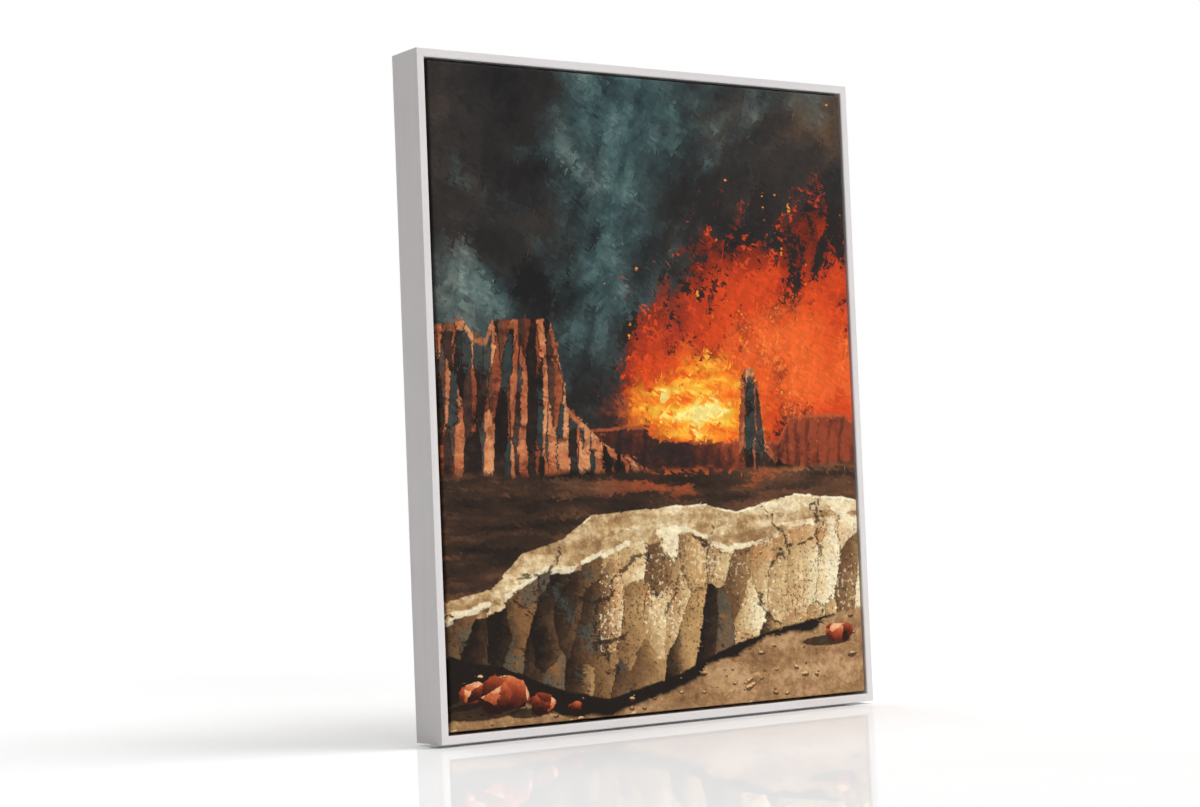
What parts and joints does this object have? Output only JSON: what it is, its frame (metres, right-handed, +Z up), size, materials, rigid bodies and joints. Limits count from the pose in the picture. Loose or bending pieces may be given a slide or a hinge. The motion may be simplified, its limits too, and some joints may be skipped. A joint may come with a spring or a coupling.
{
  "type": "framed canvas picture",
  "caption": "Stretched canvas picture held clear of a slim white floating frame, with a printed painting on its front and bare stretcher bars behind.",
  "frame": {"origin": "on the underside of the frame, at the middle of its width and of its whole depth with the hanger and bumpers", "axes": "+X to the viewer's right, +Y from the picture's face to its back, +Z up"},
  "size_m": [0.4244, 0.0408, 0.526],
  "materials": {
    "white_lacquer": "white satin paint with the wood's grain faintly showing",
    "bare_pine": "planed and unfinished",
    "printed_canvas": "primed cotton canvas, printed and matte",
    "zinc_plate": "zinc plated",
    "clear_rubber": "smooth"
  },
  "bodies": {
    "root": {"frame_bottom": "white_lacquer", "frame_left": "white_lacquer", "frame_top": "white_lacquer", "frame_right": "white_lacquer", "bar_bottom": "bare_pine", "bar_left": "bare_pine", "bar_top": "bare_pine", "bar_right": "bare_pine", "canvas": "printed_canvas", "screw_1": "zinc_plate", "screw_2": "zinc_plate", "screw_3": "zinc_plate", "screw_4": "zinc_plate", "screw_5": "zinc_plate", "screw_6": "zinc_plate", "screw_7": "zinc_plate", "screw_8": "zinc_plate", "hanger": "zinc_plate", "bumper_left": "clear_rubber", "bumper_right": "clear_rubber"}
  },
  "joints": []
}
